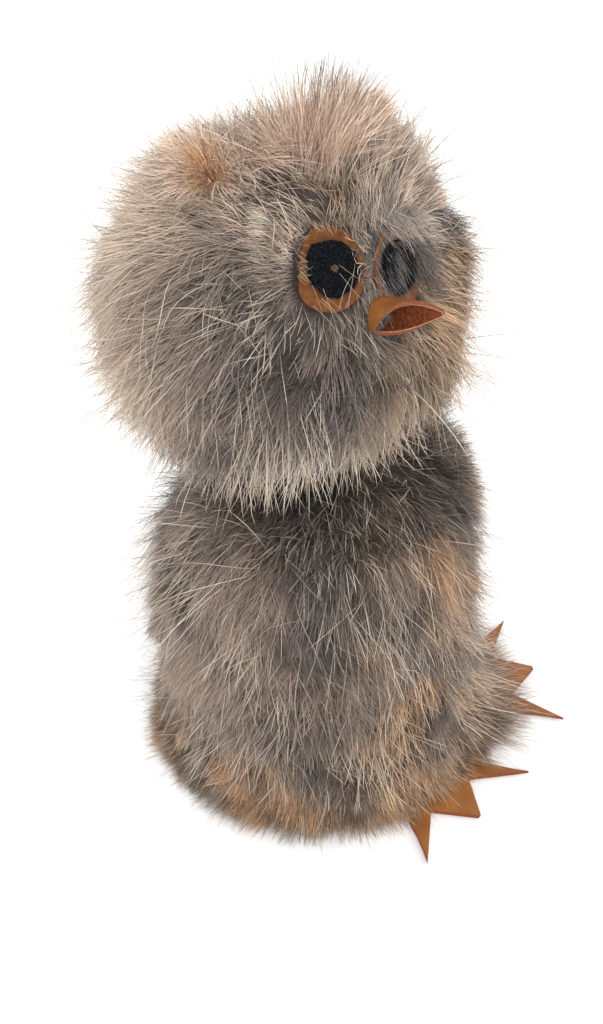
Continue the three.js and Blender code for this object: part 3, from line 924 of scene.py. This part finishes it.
def veil():
    """Fine grey hair from the bridge and brow that half covers the owl's left eye."""
    grey = coloured((0.13, 0.112, 0.10), (0.31, 0.265, 0.23), (0.46, 0.39, 0.33), 0.35)
    dark = coloured((0.05, 0.046, 0.045), (0.10, 0.092, 0.088), (0.22, 0.20, 0.185))
    loose_hair("left_eye_bridge_veil", LEFT_EYE, amount(480), (-0.0150, -0.0088), (-0.006, 0.014), -0.001,
               (0.0, 0.45), (-1.2, -0.7), 0.20, (0.008, 0.015), (0.00010, 0.00016), grey)
    loose_hair("left_eye_veil", LEFT_EYE, amount(230), (-0.0125, -0.003), (0.002, 0.014), 0.0005,
               (0.2, 0.6), (-1.2, -0.7), 0.16, (0.010, 0.019), (0.00007, 0.00012), dark)
    loose_hair("left_eye_brow_veil", LEFT_EYE, amount(260), (-0.012, 0.009), (0.0125, 0.019), -0.001,
               (0.2, 0.9), (-1.0, -0.4), 0.28, (0.006, 0.014), (0.00008, 0.00015), grey)
    loose_hair("left_eye_cheek_hairs", LEFT_EYE, amount(300), (0.0050, 0.0125), (-0.004, 0.009), -0.0005,
               (-0.2, 0.7), (-1.0, -0.4), 0.45, (0.006, 0.013), (0.00009, 0.00016),
               coloured(SLATE * 0.5, SLATE, TAUPE * 1.2))


def crossing_hairs():
    """A few cream hairs that lie across the owl's right eye, and fine grey ones over its leather's rim."""
    cream = coloured(BEIGE, BEIGE, CREAM)
    loose_hair("right_eye_crossing_hairs", RIGHT_EYE, 8, (-0.010, 0.002), (-0.012, 0.002), 0.0026,
               (0.3, 1.0), (-1.3, -0.5), 0.05, (0.007, 0.017), (0.00008, 0.00014), cream)
    loose_hair("right_eye_rising_hairs", RIGHT_EYE, 3, (-0.001, 0.003), (-0.013, -0.010), 0.0028,
               (-0.3, 0.5), (0.7, 1.0), 0.08, (0.009, 0.014), (0.00008, 0.00014), cream)
    loose_hair("right_eye_rim_hairs", RIGHT_EYE, amount(45), (-0.0130, -0.0112), (-0.002, 0.012), 0.0,
               (0.05, 0.5), (-0.9, 0.6), 0.35, (0.003, 0.005), (0.00008, 0.00014),
               coloured(TAUPE, BEIGE * 0.8, BEIGE))
    loose_hair("right_eye_brow_hairs", RIGHT_EYE, amount(60), (-0.008, 0.008), (0.0130, 0.0155), 0.0,
               (-0.5, 0.6), (-1.0, -0.3), 0.35, (0.003, 0.005), (0.00008, 0.00014),
               coloured(TAUPE, BEIGE * 0.8, BEIGE))


# ---------------------------------------------------------------- making everything

add_camera()
add_world(0.85)
add_light("key", (-0.9, -0.5, 1.1), 11, 0.9)
add_light("fill", (0.6, -1.0, 0.7), 5, 1.0)
add_light("back", (0.3, 0.9, 0.9), 6, 0.8)
add_floor()
bpy.context.scene.view_settings.view_transform = "Standard"

HAIR = hair_material()
coat(
    "body", outer_faces("body_pelt", on_outside_of_body), "body", counts=(100000, 32000, 5200),
    outward=body_out, flow=body_down, length=body_length, tint=body_tint, lift=body_lift, lay=0.10,
    keep=everywhere, dip=even(0.0005), seed=1)
coat(
    "hem", outer_faces("hem_pelt", on_outside_of_hem), "body", counts=(30000, 10000, 1500),
    outward=body_out, flow=hem_down, length=hem_length, tint=body_tint, lift=even(0.2), lay=0.0,
    keep=everywhere, dip=even(0.0005), seed=2)
coat(
    "head", outer_faces("head_pelt", on_outside_of_head), "head", counts=(104000, 40000, 10500),
    outward=head_out, flow=head_back, length=head_length, tint=head_tint, lift=head_lift, lay=0.06,
    keep=clear_of_face, dip=head_dip, seed=3)
# The neck's fur is painted near black as the shade between the head and the body.
coat(
    "neck", outer_faces("neck_sleeve", on_outside_of_neck), "neck", counts=(8000, 1500, 60),
    outward=body_out, flow=body_down, length=even(0.007), tint=lambda roots: repeat(SLATE * 0.35, len(roots)),
    lift=even(0.7), lay=0.3, keep=everywhere, dip=even(0.0002), seed=4)
crest()
ear("right", 250, 56, 1)
ear("left", 68, 48, -1)
veil()
crossing_hairs()

# The skin under the fur: a dark underfur colour, darkened further as painted shade deep in the coat, seen at
# the partings.
UNDERFUR_AND_SHADE = surface("pelt_underfur_and_shade", (0.030, 0.024, 0.021), (0.075, 0.058, 0.048), 420, 0.95,
                   [(900, 0.8, 0.001)], sheen=0.2)
soft_copy("body_pelt", "body_skin", "body", UNDERFUR_AND_SHADE, 0.0008, 0.006)
soft_copy("hem_pelt", "hem_skin", "body", UNDERFUR_AND_SHADE, 0.0008, 0.006)
soft_copy("head_pelt", "head_skin", "head", UNDERFUR_AND_SHADE, 0.0008, 0.006, dip=head_dip)
soft_copy("neck_sleeve", "neck_skin", "neck", UNDERFUR_AND_SHADE, 0.0003, 0.004)

FOOT_TAN = surface("foot_leather", (0.25, 0.088, 0.017), (0.35, 0.135, 0.032), 130, 0.55,
                   [(1500, 0.22, 0.0002), (300, 0.25, 0.0005)])
FOOT_EDGE = surface("foot_cut_edge", (0.18, 0.045, 0.016), (0.30, 0.085, 0.03), 1500, 0.9, [(2600, 0.6)])
NAPPED = surface("napped_leather", (0.115, 0.041, 0.012), (0.215, 0.078, 0.022), 420, 0.9,
                 [(2400, 0.7, 0.0003), (600, 0.3, 0.0004)], sheen=0.08, specular=0.2)
NAPPED_EDGE = surface("napped_cut_edge", (0.07, 0.018, 0.009), (0.17, 0.045, 0.018), 1500, 0.95,
                      [(2600, 0.7)])
FELT = surface("black_felt", (0.0015, 0.0015, 0.0025), (0.007, 0.008, 0.011), 1500, 0.98,
               [(3200, 0.9, 0.0006)], specular=0.08)
THREAD = surface("tan_thread", (0.045, 0.025, 0.016), (0.15, 0.088, 0.055), 1600, 0.8, [(3500, 0.8, 0.0003)])

for word in ("right", "left"):
    cut_leather(f"{word}_foot", f"{word}_foot_leather", "body", FOOT_TAN, FOOT_EDGE,
                np.array([0, 0, 1.0]))
    patch, pupil = f"{word}_eye_patch", f"{word}_pupil"
    outward = unit(middle(pupil) - middle(patch))
    cut_leather(patch, f"{patch}_leather", "head", NAPPED, NAPPED_EDGE, outward)
    cut_leather(pupil, f"{pupil}_felt", "head", FELT, FELT, outward, 0.00045, 0.00022)
    fuzz(f"{pupil}_fuzz", pupil, amount(2600), (0.0007, 0.0017), (0.00005, 0.00009),
         coloured((0.002, 0.002, 0.003), (0.006, 0.007, 0.010), (0.020, 0.022, 0.030)), "head", "black_felt")
    fuzz(f"{word}_eye_tack_fibres", f"{word}_eye_tack", amount(60), (0.0004, 0.0009), (0.00006, 0.00010),
         coloured((0.12, 0.07, 0.04), (0.22, 0.135, 0.085), (0.30, 0.20, 0.13)), "head", "thread")
    soft_copy(f"{word}_eye_tack", f"{word}_eye_knot", "head", THREAD, 0.0006, 0.0004, cuts=2)
rolled_beak()

give("neck_tie", THREAD)
give("base_ring", surface("sole_leather", (0.16, 0.085, 0.04), (0.28, 0.16, 0.085), 90, 0.75,
                          [(900, 0.5, 0.0004)]))
lining = soft_copy("body_lining", "lining_cloth", "body",
                   woven("cotton_lining", (0.42, 0.34, 0.24), (0.58, 0.49, 0.37), 0.0006), 0.0002, 0.010)
give("finger_stall", woven("stiff_cotton", (0.50, 0.43, 0.33), (0.66, 0.59, 0.47), 0.0005))
filling = soft_copy("head_stuffing", "head_filling", "head",
                    surface("fibre_filling", (0.72, 0.70, 0.65), (0.90, 0.88, 0.84), 160, 0.98,
                            [(500, 0.9, 0.001)]), 0.0016, 0.008)
